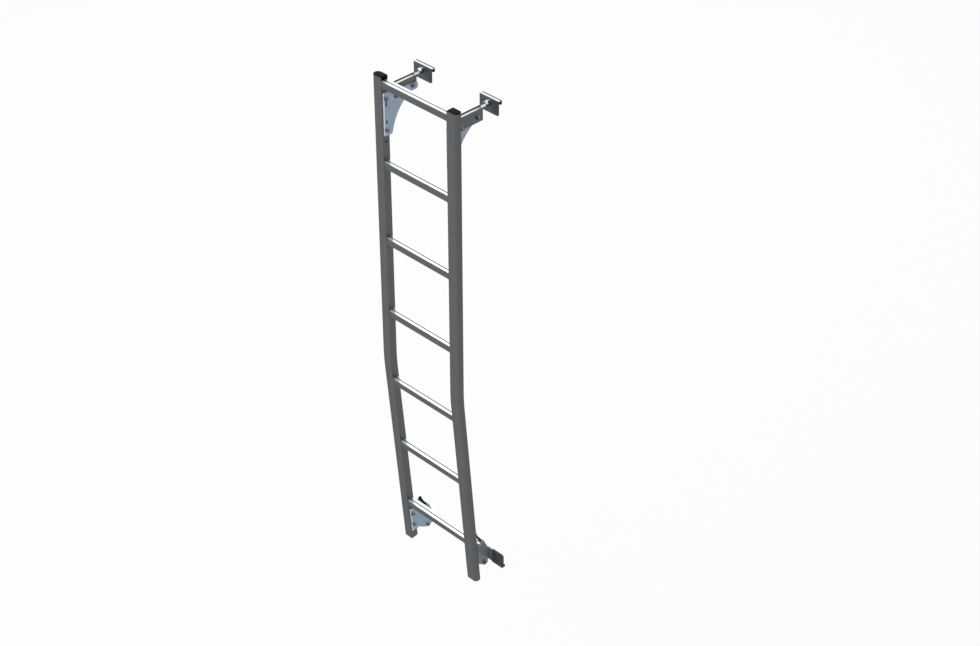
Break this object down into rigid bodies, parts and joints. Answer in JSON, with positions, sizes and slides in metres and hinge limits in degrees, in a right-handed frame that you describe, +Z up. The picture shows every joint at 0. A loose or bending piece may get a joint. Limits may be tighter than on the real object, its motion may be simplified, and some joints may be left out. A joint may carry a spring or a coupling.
{
  "type": "van rear door ladder",
  "caption": "Van rear door ladder: bent D-section stiles, box rungs, hook plates for the door's upper edge and screw-tightened claws for its lower edge.",
  "frame": {"origin": "on the flat back face of the right hook plate, below the rod, where it lies on the door", "axes": "+X along the rungs to the climber's right, +Y towards the door, +Z up along the straight stiles"},
  "size_m": [0.4671, 0.202, 2.0115],
  "materials": {
    "aluminium": "satin mill finish",
    "zinc_plate": "bluish zinc plating",
    "zinc_bar": "satin zinc plating",
    "bright_fastener": "bright zinc plating",
    "black_screw": "black oxide",
    "black_plastic": "moulded, fine grain",
    "black_rubber": "matt rubber"
  },
  "bodies": {
    "ladder": {"rung_1": "aluminium", "rung_2": "aluminium", "rung_3": "aluminium", "rung_4": "aluminium", "rung_5": "aluminium", "rung_6": "aluminium", "rung_7": "aluminium", "left_stile": "aluminium", "right_stile": "aluminium", "left_top_cap": "black_plastic", "right_top_cap": "black_plastic", "left_foot_cap": "black_plastic", "right_foot_cap": "black_plastic", "left_gusset": "zinc_plate", "right_gusset": "zinc_plate", "left_gusset_bolts": "bright_fastener", "right_gusset_bolts": "bright_fastener", "left_top_arm": "zinc_bar", "right_top_arm": "zinc_bar", "left_hook_rod": "zinc_bar", "right_hook_rod": "zinc_bar", "left_hook": "zinc_plate", "right_hook": "zinc_plate", "left_hook_edging": "black_rubber", "right_hook_edging": "black_rubber", "left_hook_nut": "bright_fastener", "right_hook_nut": "bright_fastener", "left_bracket": "zinc_plate", "right_bracket": "zinc_plate", "left_bracket_bolts": "bright_fastener", "right_bracket_bolts": "bright_fastener", "left_tension_screw": "black_screw", "right_tension_screw": "black_screw"},
    "left_claw": {"left_claw": "zinc_bar", "left_claw_boot": "black_rubber"},
    "right_claw": {"right_claw": "zinc_bar", "right_claw_boot": "black_rubber"}
  },
  "joints": [
    {"name": "left_claw_slide", "type": "slide", "parent": "ladder", "child": "left_claw", "axis": [0, -0.5, 0.866], "range_m": [-0.01, 0.01]},
    {"name": "right_claw_slide", "type": "slide", "parent": "ladder", "child": "right_claw", "axis": [0, -0.5, 0.866], "range_m": [-0.01, 0.01]}
  ]
}
